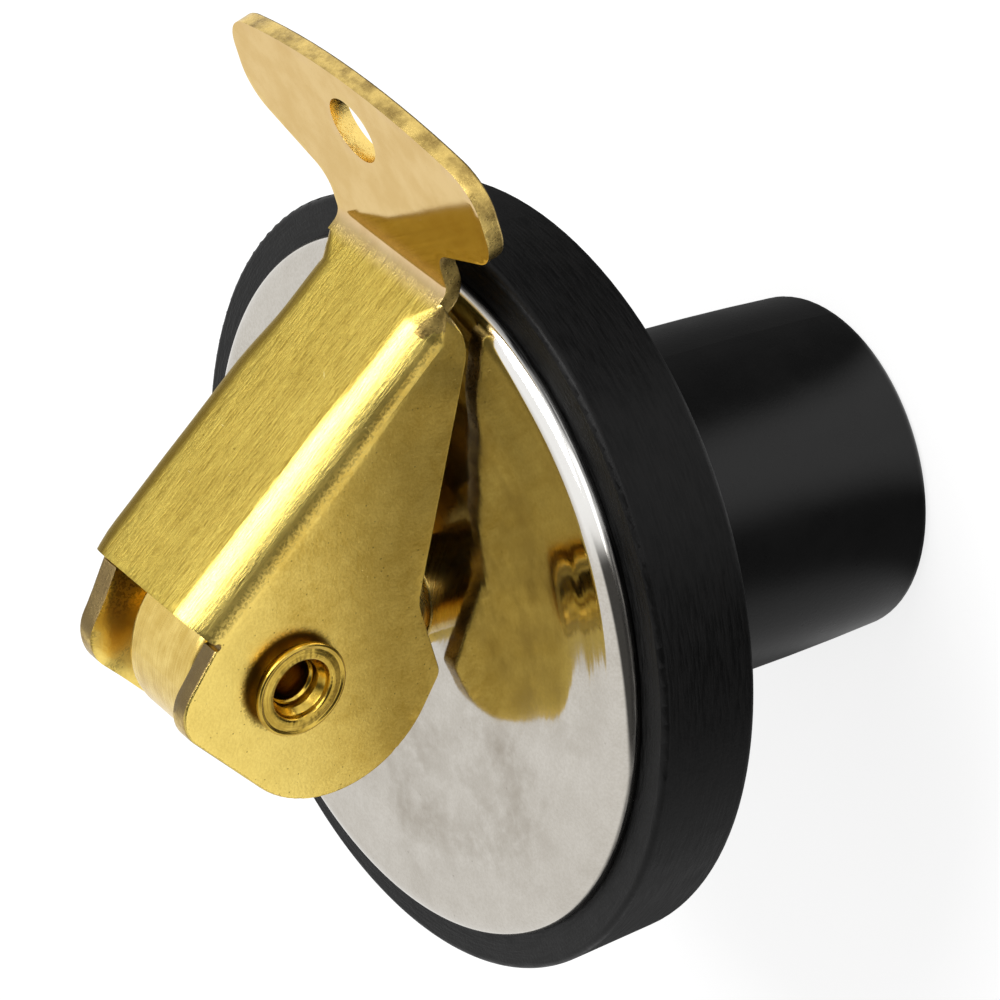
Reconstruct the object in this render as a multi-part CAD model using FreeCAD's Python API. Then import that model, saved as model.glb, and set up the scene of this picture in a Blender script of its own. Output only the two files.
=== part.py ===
"""Baitwell plug: a rubber stopper that a brass cam lever squeezes until it grips the drain tube.

Frame, in millimetres: the origin is the centre of the flange's underside, which seats on the drain's rim.
+Z runs up the plug's axis to the lever, and +X runs from the rivet to the thumb tab. The lever is shut.
"""
import FreeCAD
import Part
import math
import os

V = FreeCAD.Vector
Y_AXIS = V(0, 1, 0)
Z_AXIS = V(0, 0, 1)

# Rubber stopper
flange_diameter = 40.25
flange_taper = 0.4            # how much less the flange's radius is at its underside
flange_thickness = 5.85
flange_front_round = 0.35
flange_back_round = 0.6
plug_diameter = 18.4          # slides into a 3/4 inch drain tube, 19.05 inside
plug_length = 19.3
plug_straight_length = 8.0    # the rest draws in towards the end
plug_end_draw = 0.38          # how much less the radius is at the end
plug_end_round = 0.6
bore_clearance = 0.2          # round the stem, in the rubber and in the cover disc

# Cover disc, pressed from sheet with its rim turned down on the rubber
disc_diameter = 36.4
disc_sheet = 0.9
disc_rim_height = 1.0
disc_rim_round = 0.95
disc_dome_rise = 0.57

# Eye stem
stem_diameter = 4.83          # number 10 thread
eye_diameter = 10.3
eye_shoulder = 0.33           # how far the eye's cheeks stand out past the stem, each side
eye_edge_round = 0.45
eye_root_round = 0.5
stem_tip_reach = 0.3          # below the nut
stem_tip_bevel = 0.5
thread_clearance = 0.05

# Washer and nut in the stopper's end pocket
washer_diameter = 12.7
washer_thickness = 1.0
washer_edge_round = 0.2
nut_across_flats = 9.5
nut_thickness = 3.2
nut_corner_bevel = 0.45
pocket_clearance = 0.15
squeeze_travel = 1.05         # how far the lever lets the stem down
nut_end_margin = 0.4          # the nut stays this far inside the pocket when it is let down

# Pivot rivet, a hollow eyelet rolled over at both ends
rivet_diameter = 3.8
rivet_hole_diameter = 2.3
rivet_mouth_diameter = 3.3
rivet_lip_round = 0.2
rivet_mouth_depth = 2.0
rivet_mouth_bulge = 0.12      # how far the mouth's wall curves in towards the axis
rivet_head_diameter = 5.15
rivet_head_height = 0.85
rivet_rim_thickness = 0.36    # the rim stands off the cheek on a narrower neck
rivet_rim_round = 0.2
rivet_neck_diameter = 4.3
rivet_running_clearance = 0.06
rivet_seat_clearance = 0.03

# Lever, one stamped and folded sheet
lever_sheet = 1.0
fold_radius = 1.9             # outside of the folds between web and cheeks
near_cheek_gap = 0.55         # the lever has slid along its rivet, so the two gaps differ
far_cheek_gap = 1.8
pivot_above_disc = 9.28
web_slope_deg = 43.9          # how steeply the web falls from the rivet to the thumb tab
web_offset = 7.55             # from the rivet's axis to the web's outer face
web_end_setback = 0.72        # the web starts this far behind the foot of that offset
relief_radius = 0.22          # notch where the web's end meets each cheek
lobe_centre_back = 1.35       # the cam lobe's centre, from the rivet's axis
lobe_centre_drop = 2.6
lobe_toe_step = 0.27          # the lobe's arc ends this much above the toe
ear_slope_deg = 30.3
ear_round = 2.2
toe_back = 2.2                # the toe bears on the disc behind the rivet, which locks the lever
toe_gap = 0.37                # rise that the toe needs to turn past its highest point
toe_round = 0.9
throat_front = 2.26
throat_rise = 1.56
throat_round = 2.5
nose_front = 16.4
nose_gap = 0.3                # between the cheeks' front corner and the disc
nose_round = 3.0
nose_slope_deg = 35.0
fold_fade_length = 1.6        # the folds sharpen over this length before the nose
fold_faded_radius = 0.3
cheek_edge_round = 0.15

# Thumb tab, bent up from the web's end
crease_above_disc = 1.12
bend_inner_radius = 0.8
tab_angle_deg = 20.0
tab_reach = 11.0              # from the crease to the tip
tab_width = 21.0
tab_offset = 0.1              # the stamping sits this far to the far side of the folds' middle
tab_tip_sagitta = 1.45        # how far the tip's arc falls back at the tab's corners
tab_shoulder_reach = 4.95     # from the crease to the shoulders' outer corners
tab_corner_round = 2.4
neck_width = 9.3
neck_reach = 2.42             # from the crease to the shoulders' inner corners
neck_round = 1.6
neck_lap = 0.3                # length of flat neck that runs on into the folded web
tab_hole_diameter = 3.6
tab_hole_reach = 7.65         # from the crease
tab_hole_offset = 0.25        # from the tab's middle, to the far side
tab_edge_round = 0.22         # the sheared edge's roll, under the tab

# Heights along the plug's axis
flange_top = flange_thickness
disc_top = flange_top + disc_rim_height + disc_dome_rise
pivot_height = disc_top + pivot_above_disc
plug_end = -plug_length
nut_bottom = plug_end + squeeze_travel + nut_end_margin
nut_top = nut_bottom + nut_thickness
pocket_roof = nut_top + washer_thickness
stem_tip = nut_bottom - stem_tip_reach

# Radii and widths that follow
stem_radius = stem_diameter / 2
bore_radius = stem_radius + bore_clearance
eye_width = stem_diameter + 2 * eye_shoulder
lever_near = -eye_width / 2 - near_cheek_gap - lever_sheet
lever_far = eye_width / 2 + far_cheek_gap + lever_sheet
lever_width = lever_far - lever_near
lever_middle = (lever_near + lever_far) / 2

# Directions in the lever's own side view
web_slope = math.radians(web_slope_deg)
web_along = V(math.cos(web_slope), 0, -math.sin(web_slope))
web_normal = V(math.sin(web_slope), 0, math.cos(web_slope))
tab_angle = math.radians(tab_angle_deg)
tab_along = V(math.cos(tab_angle), 0, math.sin(tab_angle))
tab_normal = V(-math.sin(tab_angle), 0, math.cos(tab_angle))
pivot = V(0, 0, pivot_height)

REACH = 3 * flange_diameter   # longer than anything that it cuts


def solid_of_revolution(edges, axis=Z_AXIS, centre=V(0, 0, 0)):
    """Turns a closed outline about an axis into a solid."""
    face = Part.Face(Part.Wire(edges))
    return face.revolve(centre, axis, 360)


def line(start, end):
    """A straight edge."""
    return Part.LineSegment(start, end).toShape()


def arc(start, middle, end):
    """A round edge through three points."""
    return Part.Arc(start, middle, end).toShape()


def arc_about(centre, start, end):
    """The shorter round edge from start to end about a centre."""
    radius = (start - centre).Length
    middle_way = ((start - centre).normalize() + (end - centre).normalize()).normalize()
    return arc(start, centre + middle_way * radius, end)


def touch_point(centre, radius, inner_centre):
    """Where a smaller round about inner_centre touches the inside of a larger one."""
    return centre + (inner_centre - centre).normalize() * radius


def polygon(points):
    """The straight edges of a closed outline."""
    return [line(points[i - 1], points[i]) for i in range(len(points))]


def circles(shape):
    """The shape's circular edges."""
    whole = [edge for edge in shape.Edges if not edge.Degenerated]
    return [edge for edge in whole if isinstance(edge.Curve, Part.Circle)]


def rings_at(shape, height, radius):
    """The shape's circular edges about Z at one height and radius."""
    found = []
    for edge in circles(shape):
        same_height = abs(edge.Curve.Center.z - height) < 1e-4
        if same_height and abs(edge.Curve.Radius - radius) < 1e-4:
            found.append(edge)
    return found


def cross_edges(shape, corner):
    """The shape's edges along Y that pass through a corner of the side view."""
    found = []
    for edge in shape.Edges:
        ends = [vertex.Point for vertex in edge.Vertexes]
        offsets = [math.hypot(end.x - corner.x, end.z - corner.z) for end in ends]
        if len(ends) == 2 and max(offsets) < 1e-4:
            found.append(edge)
    return found


def dome_radius():
    """The radius of the sphere that the cover disc's top is part of."""
    rim = disc_diameter / 2
    return (rim * rim + disc_dome_rise * disc_dome_rise) / (2 * disc_dome_rise)


def dome_drop(radius):
    """How far the cover disc's top has fallen below its middle at a radius."""
    sphere = dome_radius()
    return sphere - math.sqrt(sphere * sphere - radius * radius)


def domed_slab(radius, bottom, top, rim_round):
    """A disc with a domed top, its rim rounded over into the dome."""
    sphere = dome_radius()
    centre = V(0, 0, top - sphere)
    side = radius - rim_round
    rise = math.sqrt((sphere - rim_round) ** 2 - side * side)
    rim_centre = V(side, 0, centre.z + rise)
    shoulder = V(radius, 0, rim_centre.z)
    touch = touch_point(centre, sphere, rim_centre)
    crown = V(0, 0, top)
    return solid_of_revolution([
        line(V(0, 0, bottom), V(radius, 0, bottom)),
        line(V(radius, 0, bottom), shoulder),
        arc_about(rim_centre, shoulder, touch),
        arc_about(centre, touch, crown),
        line(crown, V(0, 0, bottom)),
    ])


def make_rubber_stopper():
    """The flange and plug, moulded in one, with the stem's bore and the nut's pocket."""
    rim = flange_diameter / 2
    back = rim - flange_taper
    plug = plug_diameter / 2

    # The plug's side draws in on a long arc, and a small round joins that arc to the end face.
    draw_length = plug_length - plug_straight_length
    draw_radius = (draw_length * draw_length + plug_end_draw * plug_end_draw) / (2 * plug_end_draw)
    draw_start = V(plug, 0, -plug_straight_length)
    draw_centre = V(plug - draw_radius, 0, -plug_straight_length)
    round_drop = draw_length - plug_end_round
    round_side = math.sqrt((draw_radius - plug_end_round) ** 2 - round_drop * round_drop)
    round_centre = V(draw_centre.x + round_side, 0, plug_end + plug_end_round)
    draw_end = touch_point(draw_centre, draw_radius, round_centre)
    end_face = V(round_centre.x, 0, plug_end)

    body = solid_of_revolution([
        line(V(0, 0, plug_end), V(0, 0, flange_top)),
        line(V(0, 0, flange_top), V(rim, 0, flange_top)),
        line(V(rim, 0, flange_top), V(back, 0, 0)),
        line(V(back, 0, 0), V(plug, 0, 0)),
        line(V(plug, 0, 0), draw_start),
        arc_about(draw_centre, draw_start, draw_end),
        arc_about(round_centre, draw_end, end_face),
        line(end_face, V(0, 0, plug_end)),
    ])
    body = body.makeFillet(flange_front_round, rings_at(body, flange_top, rim))
    body = body.makeFillet(flange_back_round, rings_at(body, 0, back))
    bore = Part.makeCylinder(bore_radius, plug_length + flange_top, V(0, 0, plug_end))
    pocket_radius = washer_diameter / 2 + pocket_clearance
    pocket = Part.makeCylinder(pocket_radius, pocket_roof - plug_end, V(0, 0, plug_end))
    return body.cut(bore.fuse(pocket))


def make_cover_disc():
    """The plated disc: a shallow dome of sheet, with its rim turned down and a hole for the stem."""
    radius = disc_diameter / 2
    outside = domed_slab(radius, flange_top, disc_top, disc_rim_round)
    inside = domed_slab(radius - disc_sheet, flange_top, disc_top - disc_sheet, disc_rim_round - disc_sheet)
    hole = Part.makeCylinder(bore_radius, disc_top, V(0, 0, 0))
    return outside.cut(inside).cut(hole)


def make_eye_stem():
    """The stem: a round eye for the rivet on a rod that is threaded at its lower end."""
    start = V(0, -eye_width / 2, pivot_height)
    eye = Part.makeCylinder(eye_diameter / 2, eye_width, start, Y_AXIS)
    eye = eye.makeFillet(eye_edge_round, circles(eye))
    rod = Part.makeCylinder(stem_radius, pivot_height - stem_tip, V(0, 0, stem_tip))
    rod = rod.makeChamfer(stem_tip_bevel, rings_at(rod, stem_tip, stem_radius))
    stem = eye.fuse(rod)
    seams = []
    for edge in stem.Edges:
        box = edge.BoundBox
        below_eye = box.ZMin > stem_tip + stem_tip_bevel and box.ZMax < pivot_height - eye_diameter / 4
        if below_eye and not edge.isClosed() and box.DiagonalLength < 2 * stem_diameter:
            seams.append(edge)
        elif below_eye and edge.isClosed():
            seams.append(edge)
    stem = stem.makeFillet(eye_root_round, seams)
    hole_radius = rivet_diameter / 2 + rivet_running_clearance
    hole = Part.makeCylinder(hole_radius, eye_width, start, Y_AXIS)
    return stem.cut(hole)


def make_end_washer():
    """The washer that carries the nut's pull into the rubber."""
    disc = Part.makeCylinder(washer_diameter / 2, washer_thickness, V(0, 0, nut_top))
    rims = rings_at(disc, nut_top, washer_diameter / 2)
    disc = disc.makeFillet(washer_edge_round, rims)
    hole = Part.makeCylinder(bore_radius, washer_thickness, V(0, 0, nut_top))
    return disc.cut(hole)


def make_captive_nut():
    """The hexagon nut in the stopper's end, bevelled at the corners of its lower face."""
    corner = nut_across_flats / math.sqrt(3)
    points = []
    for i in range(6):
        angle = math.radians(60 * i)
        points.append(V(corner * math.cos(angle), corner * math.sin(angle), nut_bottom))
    block = Part.Face(Part.Wire(polygon(points))).extrude(V(0, 0, nut_thickness))
    rise = nut_corner_bevel
    start_radius = nut_across_flats / 2
    spread = (corner - start_radius) * nut_thickness / rise
    cone = Part.makeCone(start_radius, start_radius + spread, nut_thickness, V(0, 0, nut_bottom))
    hole_radius = stem_radius + thread_clearance
    hole = Part.makeCylinder(hole_radius, nut_thickness, V(0, 0, nut_bottom))
    return block.common(cone).cut(hole)


def rivet_half(face, outward):
    """One rolled rivet head in section, as edges from the bore round to the shank.

    face is the cheek's outer face and outward is -1 or 1, the way the head stands out along Y.
    The rolled rim stands off the cheek on a neck, which leaves a dark groove under it.
    """
    head = rivet_head_diameter / 2
    mouth = rivet_mouth_diameter / 2
    hole = rivet_hole_diameter / 2
    neck = rivet_neck_diameter / 2
    shank = rivet_diameter / 2

    def at(radius, height):
        return V(radius, face + outward * height, 0)

    top = rivet_head_height
    under = top - rivet_rim_thickness
    throat = at(hole, top - rivet_mouth_depth)
    lip = at(mouth, top - rivet_lip_round)
    flare = (throat + lip) / 2 - V(rivet_mouth_bulge, 0, 0)
    lip_top = at(mouth + rivet_lip_round, top)
    brow_top = at(head - rivet_rim_round, top)
    brow = at(head, top - rivet_rim_round)
    return [
        arc(throat, flare, lip),
        arc_about(at(mouth + rivet_lip_round, top - rivet_lip_round), lip, lip_top),
        line(lip_top, brow_top),
        arc_about(at(head - rivet_rim_round, top - rivet_rim_round), brow_top, brow),
        line(brow, at(head, under)),
        line(at(head, under), at(neck, under)),
        line(at(neck, under), at(neck, 0)),
        line(at(neck, 0), at(shank, 0)),
    ]


def make_pivot_rivet():
    """The hollow rivet that the lever turns on, fixed in the cheeks and free in the eye."""
    near = rivet_half(lever_near, -1)
    far = rivet_half(lever_far, 1)
    hole = rivet_hole_diameter / 2
    shank = rivet_diameter / 2
    near_throat = lever_near - rivet_head_height + rivet_mouth_depth
    far_throat = lever_far + rivet_head_height - rivet_mouth_depth
    edges = near + [line(V(shank, lever_near, 0), V(shank, lever_far, 0))] + far
    edges.append(line(V(hole, near_throat, 0), V(hole, far_throat, 0)))
    edges = Part.__sortEdges__(edges)
    rivet = solid_of_revolution(edges, Y_AXIS)
    rivet.translate(pivot)
    return rivet


def from_pivot(x, z):
    """A point of the lever's side view, given from the rivet's axis."""
    return V(x, lever_near, pivot_height + z)


def web_point(along, depth):
    """A point of the side view, along the web from its end and below its outer face."""
    start = web_along * (-web_end_setback) + web_normal * web_offset
    place = start + web_along * along - web_normal * depth
    return from_pivot(place.x, place.z)


def cheek_outline():
    """The lever's side view: the edges of one cheek and its sharp corners, by name."""
    toe_level = -(pivot_above_disc - toe_gap)
    lobe_radius = -toe_level - lobe_centre_drop - lobe_toe_step
    centre = from_pivot(-lobe_centre_back, -lobe_centre_drop)
    web_end = web_point(0, 0)
    fold_end = web_point(0, fold_radius)

    # The heel is a flat square to the web, tangent to the lobe. The lever stands on it when it is open.
    heel_end = centre - web_along * lobe_radius
    ear_slope = math.radians(ear_slope_deg)
    ear_way = V(-math.cos(ear_slope), 0, math.sin(ear_slope))
    to_heel = (heel_end - fold_end).dot(web_along) / ear_way.dot(web_along)
    ear = fold_end + ear_way * to_heel

    # The lobe's arc runs from the heel to a tangent that reaches down to the toe.
    toe = from_pivot(-toe_back, toe_level)
    to_toe = toe - centre
    leave_angle = math.atan2(to_toe.z, to_toe.x) - math.acos(lobe_radius / to_toe.Length)
    lobe_end = centre + V(math.cos(leave_angle), 0, math.sin(leave_angle)) * lobe_radius

    throat = from_pivot(throat_front, toe_level + throat_rise)
    nose = from_pivot(nose_front, -pivot_above_disc - dome_drop(nose_front) + nose_gap)
    nose_slope = math.radians(nose_slope_deg)
    nose_way = V(math.cos(nose_slope), 0, math.sin(nose_slope))
    to_web = (web_end - nose).dot(web_normal) / nose_way.dot(web_normal)
    nose_top = nose + nose_way * to_web

    edges = [
        line(web_end, fold_end),
        line(fold_end, ear),
        line(ear, heel_end),
        arc_about(centre, heel_end, lobe_end),
        line(lobe_end, toe),
        line(toe, throat),
        line(throat, nose),
        line(nose, nose_top),
        line(nose_top, web_end),
    ]
    corners = {"ear": ear, "toe": toe, "throat": throat, "nose": nose, "nose_top": nose_top}
    return edges, corners


def channel_section(along, width, top, round_radius):
    """A cross-section of the channel at a distance along the web: square below, rounded at the top corners."""
    side = width / 2
    bottom = top - REACH
    shoulder = top - round_radius
    slant = round_radius * math.sqrt(0.5)
    inset = side - round_radius
    return Part.Wire([
        line(V(along, -side, bottom), V(along, -side, shoulder)),
        arc(V(along, -side, shoulder), V(along, -inset - slant, shoulder + slant), V(along, -inset, top)),
        line(V(along, -inset, top), V(along, inset, top)),
        arc(V(along, inset, top), V(along, inset + slant, shoulder + slant), V(along, side, shoulder)),
        line(V(along, side, shoulder), V(along, side, bottom)),
        line(V(along, side, bottom), V(along, -side, bottom)),
    ])


def channel(width, top, stations):
    """A long bar along the web, centred on the lever, whose top rounds follow (distance, radius) stations."""
    sections = [channel_section(along, width, top, radius) for along, radius in stations]
    bar = Part.makeLoft(sections, True, True)
    bar.rotate(V(0, 0, 0), Y_AXIS, web_slope_deg)
    bar.translate(V(0, lever_middle, pivot_height))
    return bar


def cheek_rims(body):
    """The outline edges of both cheeks' outer faces."""
    found = []
    for edge in body.Edges:
        box = edge.BoundBox
        sides = [abs(box.YMin - lever_near), abs(box.YMax - lever_far)]
        if box.YLength < 1e-4 and min(sides) < 1e-4:
            found.append(edge)
    return found


def make_folded_body():
    """The web with its two cheeks: the side view across the full width, rounded and hollowed."""
    edges, corners = cheek_outline()
    body = Part.Face(Part.Wire(edges)).extrude(V(0, lever_width, 0))
    rounds = {"ear": ear_round, "toe": toe_round, "throat": throat_round, "nose": nose_round}
    for name, radius in rounds.items():
        body = body.makeFillet(radius, cross_edges(body, corners[name]))
    body = body.makeFillet(cheek_edge_round, cheek_rims(body))
    fade_end = (corners["nose_top"] - pivot).dot(web_along)
    fade_start = fade_end - fold_fade_length
    outside = channel(lever_width, web_offset, [
        (-REACH, fold_radius),
        (fade_start, fold_radius),
        (fade_end, fold_faded_radius),
        (REACH, fold_faded_radius),
    ])
    inner_fold = fold_radius - lever_sheet
    inner_width = lever_width - 2 * lever_sheet
    inside = channel(inner_width, web_offset - lever_sheet, [(-REACH, inner_fold), (REACH, inner_fold)])
    relief_centre = web_point(0, fold_radius)
    relief = Part.makeCylinder(relief_radius, lever_width, relief_centre, Y_AXIS)
    return body.common(outside).cut(inside).cut(relief), corners


def tab_outline(crease):
    """The thumb tab's plan, drawn in the tab's own plane, with its corners by name."""
    half = tab_width / 2
    neck = neck_width / 2
    middle = V(0, lever_middle + tab_offset, 0)

    def point(reach, side):
        return crease + tab_along * reach + Y_AXIS * side + middle

    corners = {
        "tip": [point(tab_reach - tab_tip_sagitta, side * half) for side in (-1, 1)],
        "shoulder": [point(tab_shoulder_reach, side * half) for side in (-1, 1)],
        "neck": [point(neck_reach, side * neck) for side in (-1, 1)],
    }
    roots = [point(-tab_reach, side * neck) for side in (-1, 1)]
    edges = [
        line(roots[1], roots[0]),
        line(roots[0], corners["neck"][0]),
        line(corners["neck"][0], corners["shoulder"][0]),
        line(corners["shoulder"][0], corners["tip"][0]),
        arc(corners["tip"][0], point(tab_reach, 0), corners["tip"][1]),
        line(corners["tip"][1], corners["shoulder"][1]),
        line(corners["shoulder"][1], corners["neck"][1]),
        line(corners["neck"][1], roots[1]),
    ]
    return edges, corners


def make_thumb_tab(nose_top):
    """The neck, the bend and the flat tab that a thumb lifts."""
    crease_drop = pivot_above_disc - crease_above_disc
    to_crease = (web_point(0, 0).z - pivot_height + crease_drop) / math.sin(web_slope)
    crease = web_point(to_crease, 0)
    crease.y = 0
    lap_start = (nose_top - web_point(0, 0)).dot(web_along) - neck_lap
    start = web_point(lap_start, 0)
    start.y = 0
    tip = crease + tab_along * tab_reach

    # The strip is the sheet seen from the side, and the two faces of the bend share one centre.
    lower_start = start - web_normal * lever_sheet
    half_turn = (web_slope + tab_angle) / 2
    bisector = (web_normal + tab_normal).normalize()
    lower_crease = crease - bisector * (lever_sheet / math.cos(half_turn))
    lower_tip = tip - tab_normal * lever_sheet
    outline = [start, crease, tip, lower_tip, lower_crease, lower_start]
    strip = Part.Face(Part.Wire(polygon(outline))).extrude(V(0, 2 * tab_width, 0))
    strip.translate(V(0, lever_middle - tab_width, 0))
    strip = strip.makeFillet(bend_inner_radius, cross_edges(strip, crease))
    strip = strip.makeFillet(bend_inner_radius + lever_sheet, cross_edges(strip, lower_crease))

    edges, corners = tab_outline(crease)
    plan = Part.Face(Part.Wire(edges)).extrude(tab_normal * REACH)
    plan.translate(tab_normal * (-REACH / 2))
    radii = {"tip": tab_corner_round, "shoulder": tab_corner_round, "neck": neck_round}
    for name, radius in radii.items():
        upright = []
        for corner in corners[name]:
            upright += edges_along_normal(plan, corner)
        plan = plan.makeFillet(radius, upright)
    hole_side = lever_middle + tab_offset + tab_hole_offset
    hole_centre = crease + tab_along * tab_hole_reach + Y_AXIS * hole_side
    hole = Part.makeCylinder(tab_hole_diameter / 2, REACH, hole_centre - tab_normal * (REACH / 2), tab_normal)
    tab = strip.common(plan)
    underside = crease - tab_normal * lever_sheet
    rims = []
    for edge in tab.Edges:
        places = edge.discretize(5)
        heights = [abs((place - underside).dot(tab_normal)) for place in places]
        reaches = [(place - crease).dot(tab_along) for place in places]
        if max(heights) < 1e-4 and max(reaches) > neck_reach:
            rims.append(edge)
    return tab.makeFillet(tab_edge_round, rims).cut(hole)


def edges_along_normal(shape, corner):
    """The shape's edges along the tab's normal that pass through a corner of its plan."""
    found = []
    for edge in shape.Edges:
        ends = [vertex.Point for vertex in edge.Vertexes]
        gaps = [(end - corner).cross(tab_normal).Length for end in ends]
        if len(ends) == 2 and max(gaps) < 1e-4:
            found.append(edge)
    return found


def make_lever():
    """The whole lever: folded body, thumb tab and the rivet's holes in the cheeks."""
    body, corners = make_folded_body()
    tab = make_thumb_tab(corners["nose_top"])
    hole_radius = rivet_diameter / 2 + rivet_seat_clearance
    hole = Part.makeCylinder(hole_radius, lever_width, V(0, lever_near, pivot_height), Y_AXIS)
    return body.fuse(tab).cut(hole).removeSplitter()


def make_all():
    """Every node of the plug, by name."""
    return {
        "rubber_stopper": make_rubber_stopper(),
        "cover_disc": make_cover_disc(),
        "lever": make_lever(),
        "pivot_rivet": make_pivot_rivet(),
        "eye_stem": make_eye_stem(),
        "end_washer": make_end_washer(),
        "captive_nut": make_captive_nut(),
    }


def main():
    """Writes one STEP file for each node."""
    os.makedirs("parts", exist_ok=True)
    for name, shape in make_all().items():
        solid = shape.Solids[0] if len(shape.Solids) == 1 else shape
        print(f"{name}: {len(shape.Solids)} solid, {solid.Volume:.1f} mm3, valid {solid.isValid()}")
        solid.exportStep(f"parts/{name}.step")


main()
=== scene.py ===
"""Dresses the baitwell plug: brass cam lever and eye stem, plated disc, black rubber stopper."""

import logging
import math
from collections.abc import Callable
from dataclasses import dataclass
from enum import Enum

import bmesh
import bpy
from mathutils import Matrix, Vector, noise


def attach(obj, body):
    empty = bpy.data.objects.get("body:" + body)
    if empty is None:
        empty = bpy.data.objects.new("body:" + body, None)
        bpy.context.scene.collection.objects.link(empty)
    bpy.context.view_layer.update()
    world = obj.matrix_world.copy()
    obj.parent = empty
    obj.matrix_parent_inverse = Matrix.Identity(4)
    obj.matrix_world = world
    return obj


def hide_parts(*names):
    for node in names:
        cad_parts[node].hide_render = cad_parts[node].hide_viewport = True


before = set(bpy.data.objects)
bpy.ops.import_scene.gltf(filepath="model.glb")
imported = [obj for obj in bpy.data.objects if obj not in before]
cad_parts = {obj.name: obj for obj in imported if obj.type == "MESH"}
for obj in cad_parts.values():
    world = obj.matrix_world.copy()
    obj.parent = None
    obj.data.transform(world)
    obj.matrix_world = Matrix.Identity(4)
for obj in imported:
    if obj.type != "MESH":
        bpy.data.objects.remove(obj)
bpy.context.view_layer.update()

Socket = bpy.types.NodeSocket
Given = bpy.types.bpy_prop_collection
Value = float | tuple | Socket
Triple = tuple[float, float, float]
Span = tuple[float, float]

log = logging.getLogger("baitwell_plug")

MM = 0.001
ACROSS = Vector((0, 1, 0))
UP = Vector((0, 0, 1))
WHITE = (1.0, 1.0, 1.0, 1.0)
DIAGONAL = math.sqrt(0.5)


def srgb(red: int, green: int, blue: int) -> tuple[float, float, float, float]:
    """Turns a screen colour into the linear colour a shader reads.

    Args:
        red: Red from 0 to 255.
        green: Green from 0 to 255.
        blue: Blue from 0 to 255.

    Returns:
        The linear colour, with alpha 1.
    """
    def linear(level: int) -> float:
        """Returns one channel's linear level."""
        share = level / 255
        return share / 12.92 if share <= 0.04045 else ((share + 0.055) / 1.055) ** 2.4

    return (linear(red), linear(green), linear(blue), 1.0)


def slope(degrees: float) -> tuple[Vector, Vector]:
    """Gives the directions along and square to a sheet that falls towards +X.

    Args:
        degrees: How steeply the sheet falls.

    Returns:
        The direction down the sheet, and the way its outer face looks.
    """
    angle = math.radians(degrees)
    return Vector((math.cos(angle), 0, -math.sin(angle))), Vector((math.sin(angle), 0, math.cos(angle)))


def rise(value: float, start: float, end: float) -> float:
    """Rises smoothly from 0 at start to 1 at end.

    Args:
        value: What is compared.
        start: Where the result is 0.
        end: Where the result is 1.

    Returns:
        The share, from 0 to 1.
    """
    share = min(1.0, max(0.0, (value - start) / (end - start)))
    return share * share * (3 - 2 * share)


def spun_mesh(name: str, outline: list[Span], steps: int,
              shift: Callable[[float, float, float], float]) -> bpy.types.Mesh:
    """Turns a closed outline about Z into a mesh of quads.

    Args:
        name: The mesh's name.
        outline: Radius and height pairs in millimetres, clockwise seen with the axis on the left.
        steps: How many copies of the outline stand round the turn.
        shift: Gives a point's extra height from its radius, height and angle.

    Returns:
        The mesh, in metres.
    """
    shape = bmesh.new()
    rows = []
    for step in range(steps):
        angle = 2 * math.pi * step / steps
        row = []
        for radius, height in outline:
            lifted = height + shift(radius, height, angle)
            point = Vector((radius * math.cos(angle), radius * math.sin(angle), lifted))
            row.append(shape.verts.new(point * MM))
        rows.append(row)
    for i, row in enumerate(rows):
        before = rows[i - 1]
        for j in range(len(outline)):
            shape.faces.new((before[j - 1], before[j], row[j], row[j - 1]))
    bmesh.ops.recalc_face_normals(shape, faces=shape.faces)
    for face in shape.faces:
        face.smooth = True
    mesh = bpy.data.meshes.new(name)
    shape.to_mesh(mesh)
    shape.free()
    return mesh


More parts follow.
